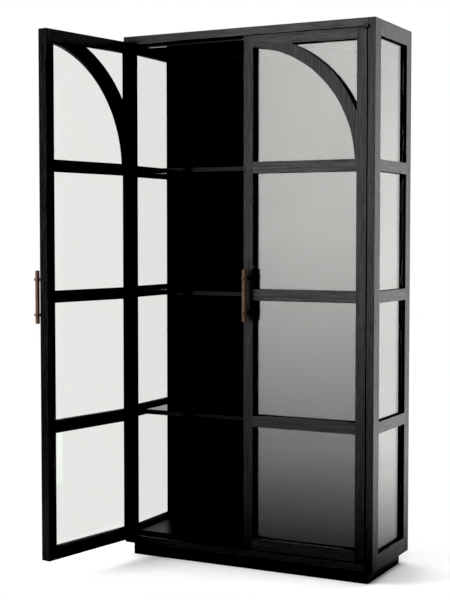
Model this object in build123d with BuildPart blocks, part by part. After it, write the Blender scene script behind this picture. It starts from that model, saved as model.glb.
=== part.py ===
from build123d import *
import os

# Two-door glazed display cabinet on a recessed plinth, in millimetres.
# X runs across the front, Y runs from the front to the back, Z is up.
# The origin is on the floor, under the centre of the case.
# The right door is closed. The left door stands open by left_door_opening degrees.

os.makedirs("parts", exist_ok=True)

# ---- driving dimensions ----
case_width = 1100
case_depth = 410
case_height = 2150

plinth_height = 52
plinth_front_inset = 25
plinth_side_inset = 29
plinth_back_inset = 28
plinth_board = 20

side_frame = 30                 # thickness of the side frames, seen from the front
front_post_depth = 60
back_post_depth = 55
side_top_rail_height = 62
side_bottom_rail_height = 60
bar_height = 45                 # horizontal bars of the sides and of the doors
bar_levels = (600, 1101, 1602)  # centre heights of the bars, and of the shelves

front_top_rail_height = 31
front_top_rail_depth = 25
front_bottom_rail_height = 31
back_rail_depth = 25
back_rail_height = 60
back_panel_thickness = 12
back_panel_setback = 6          # from the back rails' inner faces
top_panel_thickness = 22
base_panel_thickness = 20
base_panel_top = 98
stop_rail_section = 20          # depth of the door stop under the top panel
stop_rail_bottom = 2107

door_thickness = 40
door_side_gap = 3.5
door_top_gap = 3.5
door_bottom_gap = 3
door_centre_gap = 4.6           # lets both doors swing at once
door_stop_gap = 2               # between a closed door's back and its stops
stile_width = 40
door_top_rail_height = 40
door_bottom_rail_height = 45
arch_inner_radius = 470
arch_outer_radius = 516
left_door_opening = 100

glass_thickness = 4
groove_depth = 6
groove_clearance = 0.2
tongue_clearance = 1            # from a pane's edge to the bottom of its groove
door_glass_setback = 26         # from the door's front face to its glass
side_glass_setback = 14         # from the side frame's outer face to its glass

shelf_thickness = 20
shelf_front_setback = 50
shelf_clearance = 2
pin_radius = 2.5
pin_length = 18
pin_insertion = 6
pin_inset = 35                  # from a post to the nearest shelf pin
pin_end_gap = 0.5

hinge_offset = 6                # pivot line in front of the door's face
hinge_overlap = 2               # pivot line past the inner face of the side frame
hinge_pin_radius = 2
hinge_pin_clearance = 0.05
hinge_eye_radius = 4.2
bearing_gap = 0.3               # between a case leaf's sleeve and the door leaf
leaf_thickness = 2.5
leaf_length = 57
leaf_width = 12
leaf_setback = 6                # from the front face to the leaf's plate
leaf_end_gap = 1.5              # from the door's side to the leaf's end
neck_end_gap = 0.5
screw_radius = 1.6
screw_head_radius = 3
screw_head_height = 1.6
screw_head_gap = 0.1
screw_length = 16
screw_hole_depth = 17
screw_end_inset = 9             # from the leaf's inner end to the first screw

magnet_radius = 3
magnet_length = 12
magnet_proud = 0.5
strike_radius = 3.5
strike_thickness = 2

handle_length = 205
handle_radius = 8.5
collar_radius = 10.5            # leather collars that the studs pass through
collar_length = 11
handle_projection = 35          # from the door's face to the axis of the bar
leather_thickness = 2
stud_spacing = 136
stud_radius = 4.5
stud_head_radius = 5.5
stud_head_height = 4
stud_head_round = 2.4
stud_tenon_radius = 2.25
stud_tenon_length = 19
stud_bore_depth = 20
handle_level = 1099

wall_screw_spacing = 800
wall_screw_radius = 2.75
wall_screw_level = 2108

soft_edge = 1.2                 # chamfer along the edges that a hand meets
same_face = 0.5                 # an edge this near to a face's plane lies on it

# ---- derived positions ----
half_width = case_width / 2
front = -case_depth / 2
back = case_depth / 2
inside = half_width - side_frame            # inner faces of the side frames
side_front = front + front_post_depth       # the side glazing runs from here
side_back = back - back_post_depth          # to here
side_sill = plinth_height + side_bottom_rail_height
side_head = case_height - side_top_rail_height

rail_top_underside = case_height - front_top_rail_height
rail_bottom_top = plinth_height + front_bottom_rail_height
top_panel_underside = case_height - top_panel_thickness
back_rail_front = back - back_rail_depth
back_panel_front = back_rail_front + back_panel_setback

door_back = front + door_thickness
door_left = door_centre_gap / 2
door_right = inside - door_side_gap
door_bottom = rail_bottom_top + door_bottom_gap
door_top = rail_top_underside - door_top_gap
light_left = door_left + stile_width        # the glazed opening of the door
light_right = door_right - stile_width
light_bottom = door_bottom + door_bottom_rail_height
light_top = door_top - door_top_rail_height
stop_front = door_back + door_stop_gap

side_glass_x = half_width - side_glass_setback - glass_thickness / 2
door_glass_y = front + door_glass_setback + glass_thickness / 2
groove_width = glass_thickness + 2 * groove_clearance
glass_tongue = groove_depth - tongue_clearance

hinge_x = inside + hinge_overlap
hinge_y = front - hinge_offset
left_hinge_line = Axis((-hinge_x, hinge_y, 0), (0, 0, 1))


# ---- helpers ----
def middle(limits):
    return (limits[0] + limits[1]) / 2


def span(limits):
    return limits[1] - limits[0]


def board(x_limits, y_limits, z_limits):
    """A rectangular board between two limits on each axis."""
    with BuildPart() as piece:
        with BuildSketch(Plane.XY.offset(z_limits[0])):
            with Locations((middle(x_limits), middle(y_limits))):
                Rectangle(span(x_limits), span(y_limits))
        extrude(amount=span(z_limits))
    return piece.part


def grooved(piece, *grooves):
    """The piece with each groove, given as X, Y and Z limits, cut out of it."""
    with BuildPart() as cut:
        add(piece)
        for x_limits, y_limits, z_limits in grooves:
            with Locations((middle(x_limits), middle(y_limits), middle(z_limits))):
                Box(span(x_limits), span(y_limits), span(z_limits), mode=Mode.SUBTRACT)
    return cut.part


def softened(piece, axis, *faces):
    """The piece with a small chamfer along its edges beside axis that lie on all the given faces.

    A face is an axis name and the face's place along that axis.
    """
    with BuildPart() as soft:
        add(piece)
        edges = soft.edges().filter_by(axis)
        for name, place in faces:
            edges = [edge for edge in edges if abs(getattr(edge.center(), name) - place) < same_face]
        chamfer(edges, soft_edge)
    return soft.part


def mirrored(piece):
    """The same piece on the other side of the case."""
    with BuildPart() as twin:
        add(piece)
        mirror(about=Plane.YZ, mode=Mode.REPLACE)
    return twin.part


def save(piece, name):
    piece.label = name
    export_step(piece, f"parts/{name}.step")


def save_case_pair(piece, name):
    """Save a right-hand piece of the case and its left-hand twin."""
    save(piece, name.format(side="right"))
    save(mirrored(piece), name.format(side="left"))


def save_door_pair(piece, name):
    """Save a piece of the closed right door, and of the open left door."""
    save(piece, f"right_door_{name}")
    save(mirrored(piece).rotate(left_hinge_line, -left_door_opening), f"left_door_{name}")


# ---- plinth: a recessed base of boards on edge ----
plinth_x = half_width - plinth_side_inset
plinth_front = front + plinth_front_inset
plinth_back = back - plinth_back_inset
plinth_z = (0, plinth_height)
plinth_inner_y = (plinth_front + plinth_board, plinth_back - plinth_board)

save(board((-plinth_x, plinth_x), (plinth_front, plinth_inner_y[0]), plinth_z), "plinth_front_board")
save(board((-plinth_x, plinth_x), (plinth_inner_y[1], plinth_back), plinth_z), "plinth_back_board")

with BuildPart() as plinth_cross_boards:
    with BuildSketch():
        with Locations((0, middle(plinth_inner_y))):
            with GridLocations(plinth_x - plinth_board / 2, 1, 3, 1):
                Rectangle(plinth_board, span(plinth_inner_y))
    extrude(amount=plinth_height)
save(plinth_cross_boards.part, "plinth_cross_boards")

# ---- side frames: posts and rails, grooved on the inside for the panes ----
frame_x = (inside, half_width)
groove_x = (side_glass_x - groove_width / 2, side_glass_x + groove_width / 2)
groove_z = (side_sill - groove_depth, side_head + groove_depth)
post_z = (plinth_height, case_height)

front_post = grooved(
    board(frame_x, (front, side_front), post_z),
    (groove_x, (side_front - groove_depth, side_front), groove_z),
)
front_post = softened(front_post, Axis.Z, ("Y", front))
save_case_pair(front_post, "front_{side}_post")

back_post = grooved(
    board(frame_x, (side_back, back), post_z),
    (groove_x, (side_back, side_back + groove_depth), groove_z),
)
back_post = softened(back_post, Axis.Z, ("Y", back), ("X", half_width))
save_case_pair(back_post, "back_{side}_post")

rail_y = (side_front, side_back)
side_bottom_rail = grooved(
    board(frame_x, rail_y, (plinth_height, side_sill)),
    (groove_x, rail_y, (side_sill - groove_depth, side_sill)),
)
save_case_pair(side_bottom_rail, "{side}_side_bottom_rail")

side_top_rail = grooved(
    board(frame_x, rail_y, (side_head, case_height)),
    (groove_x, rail_y, (side_head, side_head + groove_depth)),
)
save_case_pair(side_top_rail, "{side}_side_top_rail")

pin_positions_y = (side_front + pin_inset, side_back - pin_inset)
pin_plane = Plane(origin=(inside + pin_insertion, 0, 0), x_dir=(0, 1, 0), z_dir=(1, 0, 0))
pin_centres = [(y, level) for y in pin_positions_y for level in bar_levels]

with BuildPart() as side_bars:
    for level in bar_levels:
        with Locations((middle(frame_x), middle(rail_y), level)):
            Box(side_frame, span(rail_y), bar_height)
        groove_rise = (bar_height - groove_depth) / 2
        for groove_level in (level - groove_rise, level + groove_rise):
            with Locations((side_glass_x, middle(rail_y), groove_level)):
                Box(groove_width, span(rail_y), groove_depth, mode=Mode.SUBTRACT)
    with BuildSketch(pin_plane):
        with Locations(*pin_centres):
            Circle(pin_radius)
    extrude(amount=-pin_insertion, mode=Mode.SUBTRACT)
save_case_pair(side_bars.part, "{side}_side_bars")

# ---- side panes: four on each side, one in each light ----
lights = []
lower_edge = side_sill
for level in bar_levels:
    lights.append((lower_edge, level - bar_height / 2))
    lower_edge = level + bar_height / 2
lights.append((lower_edge, side_head))

with BuildPart() as side_panes:
    for light in lights:
        with Locations((side_glass_x, middle(rail_y), middle(light))):
            Box(glass_thickness, span(rail_y) + 2 * glass_tongue, span(light) + 2 * glass_tongue)
save_case_pair(side_panes.part, "{side}_side_panes")

# ---- front and back rails, panels and door stop ----
across = (-inside, inside)
hinge_line_right = (hinge_x, hinge_y)
leaf_x = (door_right - leaf_end_gap - leaf_length, door_right - leaf_end_gap)
leaf_y = (front + leaf_setback, front + leaf_setback + leaf_width)
neck_x = (door_right - leaf_width, door_right - neck_end_gap)
neck_y = (hinge_y, middle(leaf_y))
arm_x = (middle(neck_x), hinge_x)
screw_x = (leaf_x[0] + screw_end_inset, middle(leaf_x))
screw_centres = [(x, middle(leaf_y)) for x in screw_x]

# Outline of a hinge leaf: a plate, and a neck and an arm that carry the eye clear of the post.
# The arm is as wide as the eye, and ends round about the pivot line.
with BuildSketch() as leaf_outline:
    with Locations((middle(leaf_x), middle(leaf_y))):
        Rectangle(span(leaf_x), span(leaf_y))
    with Locations((middle(neck_x), middle(neck_y))):
        Rectangle(span(neck_x), span(neck_y))
    with Locations((middle(arm_x), hinge_y)):
        SlotCenterToCenter(span(arm_x), 2 * hinge_eye_radius)


def with_leaf_recess(piece, face_z, direction):
    """The piece with a recess for a hinge leaf in the face at face_z."""
    with BuildPart() as recessed:
        add(piece)
        with BuildSketch(Plane.XY.offset(face_z)):
            add(leaf_outline.sketch)
        extrude(amount=direction * leaf_thickness, mode=Mode.SUBTRACT)
        with BuildSketch(Plane.XY.offset(face_z)):
            with Locations(*screw_centres):
                Circle(screw_radius)
        extrude(amount=direction * screw_hole_depth, mode=Mode.SUBTRACT)
    return recessed.part


def with_case_recesses(piece, face_z, direction):
    """A front rail with the leaf recesses at its two ends."""
    one_end = with_leaf_recess(piece, face_z, direction)
    return mirrored(with_leaf_recess(mirrored(one_end), face_z, direction))


front_top_rail = board(across, (front, front + front_top_rail_depth), (rail_top_underside, case_height))
save(with_case_recesses(front_top_rail, rail_top_underside, 1), "front_top_rail")

front_bottom_rail = board(across, (front, stop_front), (plinth_height, rail_bottom_top))
save(with_case_recesses(front_bottom_rail, rail_bottom_top, -1), "front_bottom_rail")

back_rail_y = (back_rail_front, back)
with BuildPart() as back_top_rail:
    add(board(across, back_rail_y, (case_height - back_rail_height, case_height)))
    with BuildSketch(Plane.XZ.offset(-back)):
        with Locations((0, wall_screw_level)):
            with GridLocations(wall_screw_spacing, 1, 2, 1):
                Circle(wall_screw_radius)
    extrude(amount=back_rail_depth, mode=Mode.SUBTRACT)
save(back_top_rail.part, "back_top_rail")

back_bottom_rail_z = (plinth_height, plinth_height + back_rail_height)
save(board(across, back_rail_y, back_bottom_rail_z), "back_bottom_rail")

back_panel_y = (back_panel_front, back_panel_front + back_panel_thickness)
back_panel_z = (back_bottom_rail_z[1], case_height - back_rail_height)
save(board(across, back_panel_y, back_panel_z), "back_panel")

top_panel_y = (front + front_top_rail_depth, back_rail_front)
save(board(across, top_panel_y, (top_panel_underside, case_height)), "top_panel")


def with_magnet_bores(piece, level):
    """The piece with a bore for each door's magnet in the face at stop_front."""
    with BuildPart() as bored:
        add(piece)
        with BuildSketch(Plane.XZ.offset(-stop_front)):
            with Locations((0, level)):
                with GridLocations(2 * (door_left + stile_width / 2), 1, 2, 1):
                    Circle(magnet_radius)
        extrude(amount=-(magnet_length - magnet_proud), mode=Mode.SUBTRACT)
    return bored.part


upper_magnet_level = middle((stop_rail_bottom, door_top))
lower_magnet_level = middle((door_bottom, base_panel_top))

base_panel = board(
    across,
    (stop_front, back_rail_front),
    (base_panel_top - base_panel_thickness, base_panel_top),
)
save(with_magnet_bores(base_panel, lower_magnet_level), "base_panel")

stop_rail = board(
    across,
    (stop_front, stop_front + stop_rail_section),
    (stop_rail_bottom, top_panel_underside),
)
save(with_magnet_bores(stop_rail, upper_magnet_level), "top_stop_rail")

with BuildPart() as magnet_catches:
    for level in (lower_magnet_level, upper_magnet_level):
        with BuildSketch(Plane.XZ.offset(-(stop_front - magnet_proud))):
            with Locations((0, level)):
                with GridLocations(2 * (door_left + stile_width / 2), 1, 2, 1):
                    Circle(magnet_radius)
        extrude(amount=-magnet_length)
save(magnet_catches.part, "magnet_catches")

# ---- shelves on hidden pins between the side bars ----
shelf_x = (-inside + shelf_clearance, inside - shelf_clearance)
shelf_y = (front + shelf_front_setback, back_panel_front - shelf_clearance)


def with_pin_bores(piece):
    """The shelf with bores for the pins in its right-hand end."""
    with BuildPart() as bored:
        add(piece)
        with BuildSketch(pin_plane):
            with Locations(*pin_centres):
                Circle(pin_radius)
        extrude(amount=-(pin_length + pin_end_gap), mode=Mode.SUBTRACT)
    return bored.part


for level, name in zip(bar_levels, ("lower", "middle", "upper")):
    shelf_z = (level - shelf_thickness / 2, level + shelf_thickness / 2)
    shelf = softened(board(shelf_x, shelf_y, shelf_z), Axis.X, ("Y", shelf_y[0]))
    save(mirrored(with_pin_bores(mirrored(with_pin_bores(shelf)))), f"{name}_shelf")

with BuildPart() as shelf_pins:
    with BuildSketch(pin_plane):
        with Locations(*pin_centres):
            Circle(pin_radius)
    extrude(amount=-pin_length)
    mirror(about=Plane.YZ)
save(shelf_pins.part, "shelf_pins")


# ---- hinges: offset knife hinges at the top and the foot of each door ----
def leaf(face_z, direction, eye_hole, sleeve=0.0):
    """A leaf let into the face at face_z, with its thickness along direction."""
    with BuildPart() as plate:
        with BuildSketch(Plane.XY.offset(face_z)):
            add(leaf_outline.sketch)
        extrude(amount=direction * leaf_thickness)
        with BuildSketch(Plane.XY.offset(face_z)):
            with Locations(*screw_centres):
                Circle(screw_head_radius)
        extrude(amount=direction * screw_head_height, mode=Mode.SUBTRACT)
        with BuildSketch(Plane.XY.offset(face_z)):
            with Locations(*screw_centres):
                Circle(screw_radius)
        extrude(amount=direction * leaf_thickness, mode=Mode.SUBTRACT)
        if eye_hole:
            with BuildSketch(Plane.XY.offset(face_z)):
                with Locations(hinge_line_right):
                    Circle(hinge_pin_radius + hinge_pin_clearance)
            extrude(amount=direction * leaf_thickness, mode=Mode.SUBTRACT)
        if sleeve:
            with BuildSketch(Plane.XY.offset(face_z)):
                with Locations(hinge_line_right):
                    Circle(hinge_eye_radius)
            extrude(amount=-direction * sleeve)
            with BuildSketch(Plane.XY.offset(face_z)):
                with Locations(hinge_line_right):
                    Circle(hinge_pin_radius)
            extrude(amount=-direction * (sleeve + leaf_thickness))
    return plate.part


with BuildPart() as case_hinge_leaves:
    add(leaf(rail_top_underside, 1, False, door_top_gap - bearing_gap))
    add(leaf(rail_bottom_top, -1, False, door_bottom_gap - bearing_gap))
    mirror(about=Plane.YZ)
save(case_hinge_leaves.part, "case_hinge_leaves")

with BuildPart() as door_hinge_leaves:
    add(leaf(door_top, -1, True))
    add(leaf(door_bottom, 1, True))
save_door_pair(door_hinge_leaves.part, "hinge_leaves")


def screws(face_z, direction):
    """The two flush screws of a hinge leaf in the face at face_z."""
    with BuildPart() as pair:
        with BuildSketch(Plane.XY.offset(face_z)):
            with Locations(*screw_centres):
                Circle(screw_head_radius - screw_head_gap)
        extrude(amount=direction * (screw_head_height - screw_head_gap))
        with BuildSketch(Plane.XY.offset(face_z)):
            with Locations(*screw_centres):
                Circle(screw_radius)
        extrude(amount=direction * screw_length)
    return pair.part


with BuildPart() as case_screws:
    add(screws(rail_top_underside, 1))
    add(screws(rail_bottom_top, -1))
    mirror(about=Plane.YZ)
save(case_screws.part, "case_screws")

with BuildPart() as door_screws:
    add(screws(door_top, -1))
    add(screws(door_bottom, 1))
save_door_pair(door_screws.part, "hinge_screws")

# ---- doors: grooved frame members, bars, arch and panes ----
door_y = (front, door_back)
door_groove_y = (door_glass_y - groove_width / 2, door_glass_y + groove_width / 2)
door_groove_z = (light_bottom - groove_depth, light_top + groove_depth)
light_x = (light_left, light_right)
strike_plane = Plane.XZ.offset(-door_back)
stile_middle = door_left + stile_width / 2
strike_centres = [(stile_middle, level) for level in (lower_magnet_level, upper_magnet_level)]
stud_centres = [(stile_middle, handle_level + rise) for rise in (-stud_spacing / 2, stud_spacing / 2)]

hinge_stile = grooved(
    board((light_right, door_right), door_y, (door_bottom, door_top)),
    ((light_right, light_right + groove_depth), door_groove_y, door_groove_z),
)
hinge_stile = with_leaf_recess(hinge_stile, door_top, -1)
hinge_stile = with_leaf_recess(hinge_stile, door_bottom, 1)
save_door_pair(hinge_stile, "hinge_stile")

with BuildPart() as meeting_stile:
    add(grooved(
        board((door_left, light_left), door_y, (door_bottom, door_top)),
        ((light_left - groove_depth, light_left), door_groove_y, door_groove_z),
    ))
    with BuildSketch(strike_plane):
        with Locations(*strike_centres):
            Circle(strike_radius)
    extrude(amount=strike_thickness, mode=Mode.SUBTRACT)
    with BuildSketch(Plane.XZ.offset(-front)):
        with Locations(*stud_centres):
            Circle(stud_tenon_radius)
    extrude(amount=-stud_bore_depth, mode=Mode.SUBTRACT)
save_door_pair(meeting_stile.part, "meeting_stile")

door_top_rail = grooved(
    board(light_x, door_y, (light_top, door_top)),
    (light_x, door_groove_y, (light_top, light_top + groove_depth)),
)
save_door_pair(with_leaf_recess(door_top_rail, door_top, -1), "top_rail")

door_bottom_rail = grooved(
    board(light_x, door_y, (door_bottom, light_bottom)),
    (light_x, door_groove_y, (light_bottom - groove_depth, light_bottom)),
)
save_door_pair(with_leaf_recess(door_bottom_rail, door_bottom, 1), "bottom_rail")

for level, name in zip(bar_levels, ("lower", "middle", "upper")):
    bar_z = (level - bar_height / 2, level + bar_height / 2)
    door_bar = grooved(
        board(light_x, door_y, bar_z),
        (light_x, door_groove_y, (bar_z[0], bar_z[0] + groove_depth)),
        (light_x, door_groove_y, (bar_z[1] - groove_depth, bar_z[1])),
    )
    save_door_pair(door_bar, f"{name}_bar")

arch_centre = (0, bar_levels[-1])
arch_foot = bar_levels[-1] + bar_height / 2
upper_light = (arch_foot, light_top)


def ring_sketch(inner_radius, outer_radius, x_limits, z_limits):
    """A ring about the arch's centre, kept within the given limits."""
    with BuildSketch() as ring:
        with Locations(arch_centre):
            Circle(outer_radius)
            if inner_radius:
                Circle(inner_radius, mode=Mode.SUBTRACT)
        with Locations((middle(x_limits), middle(z_limits))):
            Rectangle(span(x_limits), span(z_limits), mode=Mode.INTERSECT)
    return ring.sketch


arch_outline = ring_sketch(arch_inner_radius, arch_outer_radius, light_x, upper_light)
arch_groove_inner = ring_sketch(arch_inner_radius, arch_inner_radius + groove_depth, light_x, upper_light)
arch_groove_outer = ring_sketch(arch_outer_radius - groove_depth, arch_outer_radius, light_x, upper_light)

with BuildPart() as door_arch:
    with BuildSketch(Plane.XZ.offset(-front)):
        add(arch_outline)
    extrude(amount=-door_thickness)
    with BuildSketch(Plane.XZ.offset(-door_groove_y[0])):
        add(arch_groove_inner)
        add(arch_groove_outer)
    extrude(amount=-groove_width, mode=Mode.SUBTRACT)
save_door_pair(door_arch.part, "arch")

pane_x = (light_left - glass_tongue, light_right + glass_tongue)
lower_lights = [(light_bottom, bar_levels[0] - bar_height / 2)]
for below, above in zip(bar_levels[:-1], bar_levels[1:]):
    lower_lights.append((below + bar_height / 2, above - bar_height / 2))
upper_pane_z = (upper_light[0] - glass_tongue, upper_light[1] + glass_tongue)
main_pane = ring_sketch(0, arch_inner_radius + glass_tongue, pane_x, upper_pane_z)

with BuildSketch() as spandrel_pane:
    with Locations((middle(pane_x), middle(upper_pane_z))):
        Rectangle(span(pane_x), span(upper_pane_z))
    with Locations(arch_centre):
        Circle(arch_outer_radius - glass_tongue, mode=Mode.SUBTRACT)

with BuildPart() as door_panes:
    for light in lower_lights:
        with Locations((middle(pane_x), door_glass_y, middle(light))):
            Box(span(pane_x), glass_thickness, span(light) + 2 * glass_tongue)
    with BuildSketch(Plane.XZ.offset(-(door_glass_y - glass_thickness / 2))):
        add(main_pane)
        add(spandrel_pane.sketch)
    extrude(amount=-glass_thickness)
save_door_pair(door_panes.part, "panes")

# ---- door furniture ----
with BuildPart() as strike_discs:
    with BuildSketch(strike_plane):
        with Locations(*strike_centres):
            Circle(strike_radius)
    extrude(amount=strike_thickness)
save_door_pair(strike_discs.part, "strike_discs")

bar_centre = (stile_middle, front - handle_projection)
handle_foot = handle_level - handle_length / 2
core_radius = handle_radius - leather_thickness
stud_tip = front - handle_projection - collar_radius
stud_through = Plane.XZ.offset(-stud_tip)


def stud_bores(piece):
    """The piece with the two studs' bores through it, front to back."""
    with BuildPart() as bored:
        add(piece)
        with BuildSketch(stud_through):
            with Locations(*stud_centres):
                Circle(stud_radius)
        extrude(amount=-2 * collar_radius, mode=Mode.SUBTRACT)
    return bored.part


with BuildPart() as handle_core:
    with BuildSketch(Plane.XY.offset(handle_foot)):
        with Locations(bar_centre):
            Circle(core_radius)
    extrude(amount=handle_length)
save_door_pair(stud_bores(handle_core.part), "handle_core")

with BuildPart() as handle_leather:
    with BuildSketch(Plane.XY.offset(handle_foot)):
        with Locations(bar_centre):
            Circle(handle_radius)
            Circle(core_radius, mode=Mode.SUBTRACT)
    extrude(amount=handle_length)
    for _, level in stud_centres:
        with BuildSketch(Plane.XY.offset(level - collar_length / 2)):
            with Locations(bar_centre):
                Circle(collar_radius)
                Circle(core_radius, mode=Mode.SUBTRACT)
        extrude(amount=collar_length)
save_door_pair(stud_bores(handle_leather.part), "handle_leather")

with BuildPart() as handle_studs:
    with BuildSketch(stud_through):
        with Locations(*stud_centres):
            Circle(stud_radius)
    extrude(amount=-(handle_projection + collar_radius))
    with BuildSketch(stud_through):
        with Locations(*stud_centres):
            Circle(stud_head_radius)
    extrude(amount=stud_head_height)
    fillet(handle_studs.faces().sort_by(Axis.Y)[:len(stud_centres)].edges(), stud_head_round)
    with BuildSketch(Plane.XZ.offset(-front)):
        with Locations(*stud_centres):
            Circle(stud_tenon_radius)
    extrude(amount=-stud_tenon_length)
save_door_pair(handle_studs.part, "handle_studs")
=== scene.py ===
import math

import bpy
from mathutils import Matrix, Vector


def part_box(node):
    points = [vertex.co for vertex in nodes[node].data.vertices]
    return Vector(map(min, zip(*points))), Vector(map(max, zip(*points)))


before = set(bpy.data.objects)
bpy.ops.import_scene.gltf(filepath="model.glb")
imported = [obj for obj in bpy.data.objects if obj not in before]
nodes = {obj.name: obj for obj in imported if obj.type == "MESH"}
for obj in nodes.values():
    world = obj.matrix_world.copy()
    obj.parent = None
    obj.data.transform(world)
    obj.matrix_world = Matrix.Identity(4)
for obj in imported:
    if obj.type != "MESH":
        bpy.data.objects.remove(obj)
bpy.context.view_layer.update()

# The camera in the shared frame: its place in metres, its angles in radians, its lens in millimetres.
CAMERA_PLACE = Vector((2.2487, -4.7368, 1.3391))
CAMERA_YAW = 0.47474
CAMERA_PITCH = -0.05107
CAMERA_LENS = 76.75
SENSOR_WIDTH = 36.0

BLACK_LEVEL = 0.005             # light below this level prints as black
WHITE = (1.0, 1.0, 1.0, 1.0)

# The left door stands open in the rest pose, so its own axes are turned by this much.
LEFT_DOOR_TURN = math.radians(-100.0)

studio = bpy.context.scene.collection


# ---------------------------------------------------------------- node trees

# How far a pattern moves on an object, times the object's own random number.
PATTERN_SHIFT = (7.3, 4.1, 5.7)
# Most of a noise pattern lies between these two values.
NOISE_LOW = 0.3
NOISE_HIGH = 0.7


class Tree:
    """A material's node tree under construction."""

    def __init__(self, name):
        self.material = bpy.data.materials.new(name)
        self.material.use_nodes = True
        self.tree = self.material.node_tree
        self.tree.nodes.clear()

    def add(self, kind, inputs=None, **settings):
        """A node with its settings, and each input set to a value or linked to an output."""
        node = self.tree.nodes.new("ShaderNode" + kind)
        for name, value in settings.items():
            setattr(node, name, value)
        for name, value in (inputs or {}).items():
            socket = node.inputs[name]
            if isinstance(value, bpy.types.NodeSocket):
                self.tree.links.new(value, socket)
            else:
                socket.default_value = value
        return node

    def math(self, operation, first, second):
        """The result of one operation on two values."""
        return self.add("Math", {0: first, 1: second}, operation=operation).outputs[0]

    def spot(self, stretch=(1.0, 1.0, 1.0), turn=0.0):
        """Object coordinates turned into a board's own axes, shifted by a different amount on each object,
        and stretched so that a pattern is drawn out along the grain."""
        place = self.add("TexCoord").outputs["Object"]
        chance = self.add("ObjectInfo").outputs["Random"]
        shift = self.add("VectorMath", {0: PATTERN_SHIFT, "Scale": chance}, operation="SCALE").outputs[0]
        moved = self.add("VectorMath", {0: place, 1: shift}, operation="ADD").outputs[0]
        mapping = self.add("Mapping", {"Vector": moved}, vector_type="TEXTURE")
        mapping.inputs["Rotation"].default_value = (0.0, 0.0, turn)
        mapping.inputs["Scale"].default_value = stretch
        return mapping.outputs[0]

    def noise(self, spot, scale, detail=4.0, roughness=0.55, distortion=0.0):
        """A noise pattern; the scale is in cells to the metre, before any stretch."""
        values = {
            "Vector": spot,
            "Scale": scale,
            "Detail": detail,
            "Roughness": roughness,
            "Distortion": distortion,
        }
        return self.add("TexNoise", values).outputs["Fac"]

    def ramp(self, value, *stops):
        """A colour ramp of (place, colour) stops; a plain number stands for a grey."""
        node = self.add("ValToRGB", {"Fac": value})
        stop_list = node.color_ramp.elements
        while len(stop_list) < len(stops):
            stop_list.new(0.5)
        for element, (place, colour) in zip(stop_list, stops):
            element.position = place
            grey = isinstance(colour, (int, float))
            element.color = (colour,) * 3 + (1.0,) if grey else (*colour, 1.0)
        return node.outputs["Color"]

    def shade(self, value, low, high):
        """A colour ramp across a noise pattern."""
        return self.ramp(value, (NOISE_LOW, low), (NOISE_HIGH, high))

    def span(self, value, low, high):
        """A noise pattern moved to run from low to high."""
        limits = {
            "Value": value,
            "From Min": NOISE_LOW,
            "From Max": NOISE_HIGH,
            "To Min": low,
            "To Max": high,
        }
        return self.add("MapRange", limits).outputs["Result"]

    def blend(self, share, first, second, kind="MIX"):
        """Two colours put together by a share, each a value or an output."""
        node = self.add("Mix", data_type="RGBA", blend_type=kind)
        for socket, value in ((0, share), (6, first), (7, second)):
            if isinstance(value, bpy.types.NodeSocket):
                self.tree.links.new(value, node.inputs[socket])
            else:
                node.inputs[socket].default_value = value
        return node.outputs[2]

    def bump(self, height, strength, distance, under=None):
        """A relief from a height pattern, on top of another relief where one is given."""
        values = {"Height": height, "Strength": strength, "Distance": distance}
        if under is not None:
            values["Normal"] = under
        return self.add("Bump", values).outputs["Normal"]

    def surface(self, shader):
        """The finished material, with this shader as its surface."""
        self.add("OutputMaterial", {"Surface": shader})
        return self.material

    def principled(self, **inputs):
        """A principled shader; an underscore in an input's name stands for a space."""
        named = {key.replace("_", " "): value for key, value in inputs.items()}
        return self.add("BsdfPrincipled", named).outputs["BSDF"]


# ---------------------------------------------------------------- materials

# A pattern's stretch and the oak's shine, by the axis that the grain runs along.
ALONG = {"x": (30.0, 1.0, 1.0), "y": (1.0, 30.0, 1.0), "z": (1.0, 1.0, 30.0)}
OAK_SHINE = {"x": 0.50, "y": 0.54, "z": 0.39}

DARKEST = (0.0004, 0.0004, 0.0004)
OAK_LIGHT = (0.0028, 0.0027, 0.0026)
LACQUER_LIGHT = (0.0012, 0.0012, 0.0012)
BACKING_LIGHT = (0.0026, 0.0026, 0.0026)

OAK_CLOUD_SCALE = 5.0
STREAK_SCALE = 150.0
PORE_SCALE = 560.0
OAK_ROUGHNESS = (0.31, 0.20)    # from the dark streaks to the light ones
OAK_UNEVEN = (-0.02, 0.02)      # cloudy change of that roughness, and of the tone
OAK_CAST = (0.75, 1.15)
# Painted shade in corners and recesses: the roughness of the shineless oak there, how far it reaches, its
# rays, and where the shine comes back.
SHADE_ROUGHNESS = 0.9
SHADE_REACH = 0.06                     # painted shade: the oak loses its shine within this reach of a corner or recess
SHADE_RAYS = 8
UNSHADED_STARTS = 0.6             # how open a place is where the painted shade starts to give way to the shine, and where it is gone
UNSHADED_FULL = 0.93

# The depth that parts the back panel's inner face from its outer one.
PANEL_MIDDLE = sum(corner[1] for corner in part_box("back_panel")) / 2
BACKING_DULL = (0.5, 0.7)       # roughness and shine towards the shelves
BACKING_DULL_SHINE = 0.03
BACKING_SATIN = (0.38, 0.27)    # roughness and shine outside
BACKING_SATIN_SHINE = 0.5
LACQUER_UNEVEN = (0.85, 1.2)
METAL_UNEVEN = (0.8, 1.3)

# A pane's mirror share head on, what is added edge on, and how late that comes.
HEAD_ON_MIRROR = (0.102, 0.108)
EDGE_ON_MIRROR = 0.895
EDGE_ON_POWER = 5.0
PANE_FILM = (0.0, 0.006)        # roughness, from the clean parts to the smeared ones
PANE_TINT = ((0.984, 0.998, 0.978), (0.990, 1.0, 0.984))
PANE_IMAGE = ((0.965, 0.985, 0.955), (0.98, 1.0, 0.97))

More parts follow.
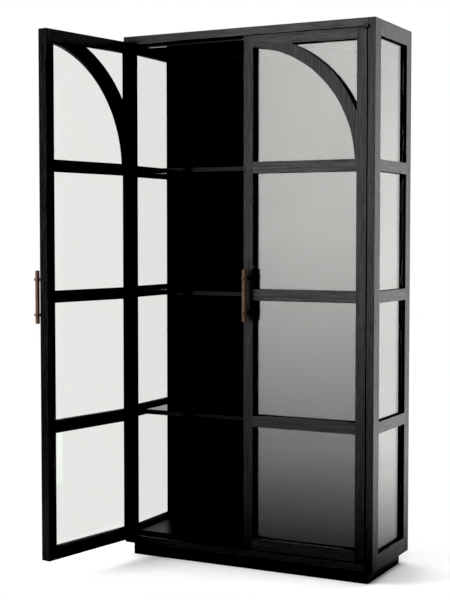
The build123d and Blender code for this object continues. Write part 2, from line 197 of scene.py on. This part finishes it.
HIDE_DARK = (0.105, 0.055, 0.040)
HIDE_LIGHT = (0.190, 0.112, 0.084)
HIDE_ROUGHNESS = (0.28, 0.40)
HIDE_SHINE = 0.15
CORE_DARK = (0.014, 0.008, 0.006)
CORE_LIGHT = (0.030, 0.018, 0.013)
CORE_ROUGHNESS = (0.55, 0.75)
PEBBLE_SCALE = 900.0
PEBBLE_EDGE = 0.12              # the width of a crease between pebbles, as a share of a cell

# Reliefs, as strength and depth in metres.
PORE_RELIEF = (0.5, 0.0003)
STREAK_RELIEF = (0.5, 0.0006)
LACQUER_RELIEF = (0.06, 0.0002)
BACKING_RELIEF = (0.4, 0.0004)
PEBBLE_RELIEF = (0.35, 0.0002)
HIDE_RELIEF = (0.3, 0.0005)
SCRATCH_RELIEF = (0.12, 0.0001)
FIBRE_RELIEF = (0.2, 0.0002)


def oak_streaks(t, spot):
    """Long streaks of open-pored oak."""
    return t.noise(spot, STREAK_SCALE, detail=7.0, roughness=0.65, distortion=0.3)


def stained_oak(name, grain, turn):
    """Black-stained open-pored oak with a satin lacquer; painted shade takes the shine away in corners and
    recesses.
    """
    t = Tree(name)
    along = t.spot(ALONG[grain], turn)
    even = t.spot()
    streaks = oak_streaks(t, along)
    pores = t.noise(along, PORE_SCALE, detail=3.0, roughness=0.7)
    cloud = t.noise(even, OAK_CLOUD_SCALE, detail=3.0)
    stain = t.ramp(streaks, (0.32, DARKEST), (0.68, OAK_LIGHT))
    cast = t.shade(cloud, *OAK_CAST)
    stain = t.blend(1.0, stain, cast, "MULTIPLY")
    pits = t.ramp(pores, (0.36, 0.0), (0.46, 1.0))
    pore_stain = t.ramp(pores, (0.36, 0.45), (0.46, 1.0))
    stain = t.blend(1.0, stain, pore_stain, "MULTIPLY")
    rough = t.math("ADD", t.span(streaks, *OAK_ROUGHNESS), t.span(cloud, *OAK_UNEVEN))
    streak_sheen = t.ramp(streaks, (0.34, 0.60), (0.66, 1.0))
    pore_sheen = t.ramp(pores, (0.38, 0.6), (0.48, 1.0))
    sheen = t.blend(1.0, streak_sheen, pore_sheen, "MULTIPLY")
    fine = t.bump(pits, *PORE_RELIEF)
    relief = t.bump(streaks, *STREAK_RELIEF, under=fine)
    satin = t.principled(
        Base_Color=stain,
        Roughness=rough,
        Normal=relief,
        Specular_IOR_Level=OAK_SHINE[grain],
        Specular_Tint=sheen,
    )
    # Painted shade: the same oak with no shine, used in corners and recesses.
    painted_shade = t.principled(
        Base_Color=stain,
        Roughness=SHADE_ROUGHNESS,
        Normal=relief,
        Specular_IOR_Level=0.0,
    )
    # Painted shade: the more hemmed in a place is, the more the shineless oak takes over from the satin
    # one.
    open_air = t.add("AmbientOcclusion", {"Distance": SHADE_REACH}, samples=SHADE_RAYS).outputs["AO"]
    unshaded_share = t.ramp(open_air, (UNSHADED_STARTS, 0.0), (UNSHADED_FULL, 1.0))
    return t.surface(t.add("MixShader", {0: unshaded_share, 1: painted_shade, 2: satin}).outputs[0])


def black_lacquer(name, grain, rough, specular):
    """Smooth black lacquer of the inside boards."""
    t = Tree(name)
    along = t.spot(ALONG[grain])
    even = t.spot()
    streaks = t.noise(along, 90.0, detail=5.0, roughness=0.6)
    cloud = t.noise(even, 9.0, detail=4.0)
    black = t.shade(streaks, DARKEST, LACQUER_LIGHT)
    least, most = LACQUER_UNEVEN
    gloss = t.span(cloud, rough * least, rough * most)
    relief = t.bump(streaks, *LACQUER_RELIEF)
    shader = t.principled(Base_Color=black, Roughness=gloss, Normal=relief, Specular_IOR_Level=specular)
    return t.surface(shader)


def backing(name, grain):
    """Back panel: dull black towards the shelves, satin black outside."""
    t = Tree(name)
    streaks = oak_streaks(t, t.spot(ALONG[grain]))
    cloud = t.noise(t.spot(), OAK_CLOUD_SCALE, detail=3.0)
    black = t.shade(streaks, DARKEST, BACKING_LIGHT)
    relief = t.bump(streaks, *BACKING_RELIEF)
    soft = t.span(cloud, *BACKING_DULL)
    gloss = t.span(streaks, *BACKING_SATIN)
    dull = t.principled(
        Base_Color=black,
        Roughness=soft,
        Normal=relief,
        Specular_IOR_Level=BACKING_DULL_SHINE,
    )
    satin = t.principled(
        Base_Color=black,
        Roughness=gloss,
        Normal=relief,
        Specular_IOR_Level=BACKING_SATIN_SHINE,
    )
    depth = t.add("SeparateXYZ", {0: t.add("TexCoord").outputs["Object"]}).outputs["Y"]
    outside = t.math("GREATER_THAN", depth, PANEL_MIDDLE)
    return t.surface(t.add("MixShader", {0: outside, 1: dull, 2: satin}).outputs[0])


def tinted_glass(name):
    """A thin clear pane with a faint green tint and a bright mirror image of the room."""
    t = Tree(name)
    even = t.spot()
    facing = t.add("LayerWeight", {"Blend": 0.5}).outputs["Facing"]
    edge_on = t.math("MULTIPLY", t.math("POWER", facing, EDGE_ON_POWER), EDGE_ON_MIRROR)
    waves = t.noise(even, 2.5, detail=2.0)
    head_on = t.span(waves, *HEAD_ON_MIRROR)
    share = t.math("ADD", edge_on, head_on)
    tint = t.shade(waves, *PANE_TINT)
    smear = t.noise(even, 14.0, detail=5.0)
    film = t.span(smear, *PANE_FILM)
    through = t.add("BsdfTransparent", {"Color": tint}).outputs[0]
    image = t.shade(waves, *PANE_IMAGE)
    mirror = t.principled(Base_Color=image, Metallic=1.0, Roughness=film)
    shader = t.add("MixShader", {0: share, 1: through, 2: mirror}).outputs[0]
    return t.surface(shader)


def brown_leather(name):
    """Smooth dyed hide: a fine pebbled grain, cloudy dye and an uneven soft polish."""
    t = Tree(name)
    even = t.spot()
    cloud = t.noise(even, 38.0, detail=5.0, roughness=0.6)
    hide = t.shade(cloud, HIDE_DARK, HIDE_LIGHT)
    pebbles = t.add("TexVoronoi", {"Vector": even, "Scale": PEBBLE_SCALE}, feature="DISTANCE_TO_EDGE")
    cells = pebbles.outputs["Distance"]
    creases = t.ramp(cells, (0.0, 0.0), (PEBBLE_EDGE, 1.0))
    # The creases between the pebbles are darker.
    crease_darkening = t.ramp(cells, (0.0, 0.6), (PEBBLE_EDGE, 1.0))
    hide = t.blend(1.0, hide, crease_darkening, "MULTIPLY")
    rough = t.span(cloud, *HIDE_ROUGHNESS)
    grain = t.bump(creases, *PEBBLE_RELIEF)
    relief = t.bump(t.noise(even, 160.0, detail=4.0), *HIDE_RELIEF, under=grain)
    shader = t.principled(
        Base_Color=hide,
        Roughness=rough,
        Normal=relief,
        Specular_IOR_Level=HIDE_SHINE,
    )
    return t.surface(shader)


def worn_metal(name, dark, light, rough, coarse):
    """Metal with a cloudy patina and fine brushed scratches."""
    t = Tree(name)
    even = t.spot()
    cloud = t.noise(even, coarse, detail=6.0, roughness=0.65)
    scratches = t.noise(t.spot((1.0, 1.0, 14.0)), 1800.0, detail=2.0)
    tone = t.ramp(cloud, (0.32, dark), (0.68, light))
    least, most = METAL_UNEVEN
    worn = t.span(cloud, rough * least, rough * most)
    relief = t.bump(scratches, *SCRATCH_RELIEF)
    shader = t.principled(Base_Color=tone, Metallic=1.0, Roughness=worn, Normal=relief)
    return t.surface(shader)


def core_wood(name):
    """Dark wood of the turned core inside the leather."""
    t = Tree(name)
    even = t.spot()
    fibres = t.noise(t.spot((1.0, 1.0, 20.0)), 400.0, detail=4.0)
    tone = t.shade(fibres, CORE_DARK, CORE_LIGHT)
    rough = t.span(t.noise(even, 60.0), *CORE_ROUGHNESS)
    relief = t.bump(fibres, *FIBRE_RELIEF)
    return t.surface(t.principled(Base_Color=tone, Roughness=rough, Normal=relief))


OAK = {
    (grain, side): stained_oak(f"black_oak_{grain}_{side}", grain, turn)
    for side, turn in (("square", 0.0), ("left_door", LEFT_DOOR_TURN))
    for grain in ("x", "y", "z")
}
SHELF = black_lacquer("shelf_lacquer", "x", rough=0.075, specular=0.12)
BASE = black_lacquer("base_lacquer", "x", rough=0.35, specular=0.04)
BACKING = backing("backing_lacquer", "z")
GLASS = tinted_glass("pane_glass")
LEATHER = brown_leather("handle_hide")
CORE = core_wood("handle_core_wood")
AGED = worn_metal(
    "aged_bronze", dark=(0.060, 0.036, 0.028), light=(0.13, 0.085, 0.070), rough=0.42, coarse=220.0
)
BLACKENED = worn_metal(
    "blackened_steel", dark=(0.028, 0.028, 0.029), light=(0.058, 0.057, 0.057), rough=0.38, coarse=160.0
)
NICKEL = worn_metal(
    "dull_nickel", dark=(0.05, 0.05, 0.05), light=(0.11, 0.11, 0.11), rough=0.45, coarse=160.0
)
STEEL = worn_metal(
    "bright_steel", dark=(0.42, 0.42, 0.43), light=(0.62, 0.62, 0.62), rough=0.28, coarse=160.0
)

UPRIGHT = ("post", "stile", "arch")
CROSSWISE = ("side_bars", "side_top_rail", "side_bottom_rail", "cross_boards")
INSIDE_BOARDS = ("lower_shelf", "middle_shelf", "upper_shelf", "top_stop_rail")


def wood_for(name):
    """The oak whose grain runs along this board."""
    side = "left_door" if name.startswith("left_door") else "square"
    if name.endswith(UPRIGHT):
        return OAK["z", side]
    if name.endswith(CROSSWISE):
        return OAK["y", side]
    return OAK["x", side]


def finish_for(name):
    """The material of a CAD node, by what the node is."""
    if name.endswith("panes"):
        return GLASS
    if name.endswith("handle_leather"):
        return LEATHER
    if name.endswith("handle_core"):
        return CORE
    if name.endswith("handle_studs"):
        return AGED
    if name.endswith(("screws", "hinge_leaves", "strike_discs")):
        return BLACKENED
    if name == "magnet_catches":
        return NICKEL
    if name == "shelf_pins":
        return STEEL
    if name == "back_panel":
        return BACKING
    if name in INSIDE_BOARDS:
        return SHELF
    if name == "base_panel":
        return BASE
    return wood_for(name)


for node_name, node in nodes.items():
    node.data.materials.clear()
    node.data.materials.append(finish_for(node_name))


# ---------------------------------------------------------------- studio

FLOOR_HOLD = (0.52, 0.18, 0.0)  # about the plinth's half width and half depth
FLOOR_FADE = (0.08, 0.42)       # the floor fades out between these distances from it
FLOOR_TONE = (0.93, 0.95)
FLOOR_LIMITS = (-4.0, 4.0)
FLOOR_CELLS = 8


def sheet_mesh(name, corners, cells=1):
    """A flat four-cornered sheet, cut into cells each way."""
    a, b, c, d = (Vector(corner) for corner in corners)
    count = cells + 1
    points = [
        a.lerp(b, i / cells).lerp(d.lerp(c, i / cells), j / cells)
        for j in range(count)
        for i in range(count)
    ]
    faces = [
        (j * count + i, j * count + i + 1, (j + 1) * count + i + 1, (j + 1) * count + i)
        for j in range(cells)
        for i in range(cells)
    ]
    mesh = bpy.data.meshes.new(name)
    mesh.from_pydata([tuple(p) for p in points], [], faces)
    sheet = bpy.data.objects.new(name, mesh)
    studio.objects.link(sheet)
    return sheet


def floor_finish():
    """Pale matt floor round the plinth that passes into the white surround further out."""
    t = Tree("pale_floor")
    place = t.add("TexCoord").outputs["Object"]
    side = t.add("VectorMath", {0: place}, operation="ABSOLUTE").outputs[0]
    past = t.add("VectorMath", {0: side, 1: FLOOR_HOLD}, operation="SUBTRACT").outputs[0]
    out = t.add("VectorMath", {0: past, 1: (0.0, 0.0, 0.0)}, operation="MAXIMUM").outputs[0]
    away = t.add("VectorMath", {0: out}, operation="LENGTH").outputs["Value"]
    starts, ends = FLOOR_FADE
    limits = {"Value": away, "From Min": starts, "From Max": ends}
    edge = t.add("MapRange", limits, interpolation_type="SMOOTHSTEP")
    tone = t.shade(t.noise(t.spot(), 3.0), *FLOOR_TONE)
    matt = t.add("BsdfDiffuse", {"Color": tone}).outputs[0]
    clear = t.add("BsdfTransparent").outputs[0]
    return t.surface(t.add("MixShader", {0: edge.outputs["Result"], 1: matt, 2: clear}).outputs[0])


def profile(tree, value, stops):
    """A brightness along one axis, from (place, level) stops: its share of the peak, and the peak."""
    low, high = stops[0][0], stops[-1][0]
    peak = max(level for _, level in stops)
    share = tree.add("MapRange", {"Value": value, "From Min": low, "From Max": high}).outputs["Result"]
    shares = [((place - low) / (high - low), level / peak) for place, level in stops]
    return tree.ramp(share, *shares), peak


def card(name, corners, axis, stops, side_stops):
    """A studio card that only shows in reflections, with its glow set along one axis and along X."""
    t = Tree(name)
    place = t.add("SeparateXYZ", {0: t.add("TexCoord").outputs["Object"]})
    rise, peak = profile(t, place.outputs[axis], stops)
    fade, side_peak = profile(t, place.outputs["X"], side_stops)
    glow = t.blend(1.0, rise, fade, "MULTIPLY")
    t.surface(t.add("Emission", {"Color": glow, "Strength": peak * side_peak}).outputs[0])
    t.material.cycles.emission_sampling = "NONE"
    sheet = sheet_mesh(name, corners)
    sheet.data.materials.append(t.material)
    sheet.visible_camera = False
    sheet.visible_diffuse = False
    sheet.visible_shadow = False
    return sheet


def level_corners(x_limits, y_limits, z):
    """Corners of a level rectangle."""
    (x0, x1), (y0, y1) = x_limits, y_limits
    return (x0, y0, z), (x1, y0, z), (x1, y1, z), (x0, y1, z)


def upright_corners(x_limits, y, z_limits):
    """Corners of an upright rectangle across the room."""
    (x0, x1), (z0, z1) = x_limits, z_limits
    return (x0, y, z0), (x1, y, z0), (x1, y, z1), (x0, y, z1)


def lamp(name, place, aim, size, power):
    """A square softbox at place, aimed at a point, which isn't seen itself."""
    data = bpy.data.lights.new(name, "AREA")
    data.size = size
    data.energy = power
    box = bpy.data.objects.new(name, data)
    box.location = place
    box.rotation_euler = (Vector(aim) - Vector(place)).to_track_quat("-Z", "Y").to_euler()
    box.visible_camera = False
    box.visible_glossy = False
    studio.objects.link(box)


floor = sheet_mesh("floor", level_corners(FLOOR_LIMITS, FLOOR_LIMITS, 0.0), FLOOR_CELLS)
floor.data.materials.append(floor_finish())

# Two cards stand in front of and behind the cabinet, and two lie on the floor between.
CARD_LIFT = 0.004
FRONT_CARD_X = (-4.5, 1.2)
FRONT_CARD_Y = -3.0
FRONT_CARD_Z = (0.0, 4.2)
FRONT_FLOOR_Y = -0.182
BACK_CARD_X = (1.0, 3.2)
BACK_CARD_Y = 4.0
BACK_CARD_Z = (0.0, 4.5)
BACK_FLOOR_X = (0.56, 3.2)
BACK_FLOOR_Y = -0.2

# Their glow as (place, level) stops: FADE along X, RISE along Z, and RUN along Y on the floor.
FRONT_FADE = (
    (-4.5, 0.02),
    (-3.0, 0.08),
    (-2.4, 0.25),
    (-1.9, 0.55),
    (-1.4, 0.92),
    (-0.9, 1.0),
    (1.2, 1.05),
)
FRONT_RISE = ((0.0, 0.90), (0.55, 1.6), (1.36, 2.55), (2.4, 2.75), (4.2, 2.55))
FRONT_RUN = ((FRONT_CARD_Y, 0.95), (-1.5, 0.40), (-0.75, 0.15), (-0.35, 0.05), (FRONT_FLOOR_Y, 0.0))
BACK_FADE = ((1.0, 0.2), (1.6, 0.9), (2.1, 1.0), (2.6, 0.8), (3.2, 0.1))
BACK_RISE = ((0.0, 1.8), (0.7, 1.9), (1.2, 1.95), (2.0, 1.8), (2.5, 1.6), (4.5, 1.1))
BACK_FLOOR_FADE = ((0.56, 0.2), (0.75, 0.75), (1.2, 1.0), (2.1, 1.0), (2.6, 0.8), (3.2, 0.1))
BACK_RUN = ((BACK_FLOOR_Y, 0.0), (0.3, 0.5), (0.8, 0.95), (1.6, 1.35), (2.8, 1.75), (BACK_CARD_Y, 1.8))

front_card = card(
    "front_card",
    upright_corners(FRONT_CARD_X, FRONT_CARD_Y, FRONT_CARD_Z),
    "Z",
    FRONT_RISE,
    FRONT_FADE,
)
front_floor_card = card(
    "front_floor_card",
    level_corners(FRONT_CARD_X, (FRONT_CARD_Y, FRONT_FLOOR_Y), CARD_LIFT),
    "Y",
    FRONT_RUN,
    FRONT_FADE,
)
back_card = card(
    "back_card",
    upright_corners(BACK_CARD_X, BACK_CARD_Y, BACK_CARD_Z),
    "Z",
    BACK_RISE,
    BACK_FADE,
)
back_floor_card = card(
    "back_floor_card",
    level_corners(BACK_FLOOR_X, (BACK_FLOOR_Y, BACK_CARD_Y), CARD_LIFT),
    "Y",
    BACK_RUN,
    BACK_FLOOR_FADE,
)

lamp("top_light", place=(0.0, -0.4, 4.4), aim=(0.0, -0.4, 0.0), size=8.0, power=400.0)
lamp("front_light", place=(-2.8, -2.9, 2.0), aim=(0.0, -0.2, 1.0), size=1.8, power=210.0)

# The surround looks white to the camera, and lights the cabinet from the back left.
SKY_AIM = (-0.45, 0.89, 0.0)
SKY_FALLOFF = (("From Min", 0.05), ("From Max", 0.7), ("To Min", 0.0), ("To Max", 1.0))

world = bpy.data.worlds.new("surround")
bpy.context.scene.world = world
world.use_nodes = True
sky = world.node_tree
sky.nodes.clear()


def sky_node(kind, **values):
    """A node of the surround, with each named input set or linked."""
    node = sky.nodes.new("ShaderNode" + kind)
    for name, value in values.items():
        socket = node.inputs[name]
        if isinstance(value, bpy.types.NodeSocket):
            sky.links.new(value, socket)
        else:
            socket.default_value = value
    return node


seen = sky_node("Background", Color=WHITE, Strength=1.0)
heading = sky.nodes.new("ShaderNodeVectorMath")
heading.operation = "DOT_PRODUCT"
heading.inputs[1].default_value = SKY_AIM
sky.links.new(sky_node("TexCoord").outputs["Generated"], heading.inputs[0])
glow = sky_node("MapRange", Value=heading.outputs["Value"])
for name, value in SKY_FALLOFF:
    glow.inputs[name].default_value = value
light = sky_node("Background", Color=WHITE, Strength=glow.outputs["Result"])
choice = sky.nodes.new("ShaderNodeMixShader")
sky.links.new(sky_node("LightPath").outputs["Is Camera Ray"], choice.inputs[0])
sky.links.new(light.outputs[0], choice.inputs[1])
sky.links.new(seen.outputs[0], choice.inputs[2])
sky.links.new(choice.outputs[0], sky.nodes.new("ShaderNodeOutputWorld").inputs["Surface"])

# ---------------------------------------------------------------- view

scene = bpy.context.scene
scene.view_settings.view_transform = "Standard"
scene.view_settings.look = "None"
scene.view_settings.use_curve_mapping = True
scene.view_settings.curve_mapping.black_level = (BLACK_LEVEL,) * 3
scene.view_settings.curve_mapping.update()

# ---------------------------------------------------------------- camera

ahead = Vector(
    (
        -math.sin(CAMERA_YAW) * math.cos(CAMERA_PITCH),
        math.cos(CAMERA_YAW) * math.cos(CAMERA_PITCH),
        math.sin(CAMERA_PITCH),
    )
)
right = Vector((math.cos(CAMERA_YAW), math.sin(CAMERA_YAW), 0.0))
up = right.cross(ahead)
lens = bpy.data.cameras.new("camera")
lens.lens = CAMERA_LENS
lens.sensor_width = SENSOR_WIDTH
lens.sensor_fit = "AUTO"
camera = bpy.data.objects.new("camera", lens)
turn = Matrix((right, up, -ahead)).transposed().to_4x4()
camera.matrix_world = Matrix.Translation(CAMERA_PLACE) @ turn
studio.objects.link(camera)
scene.camera = camera
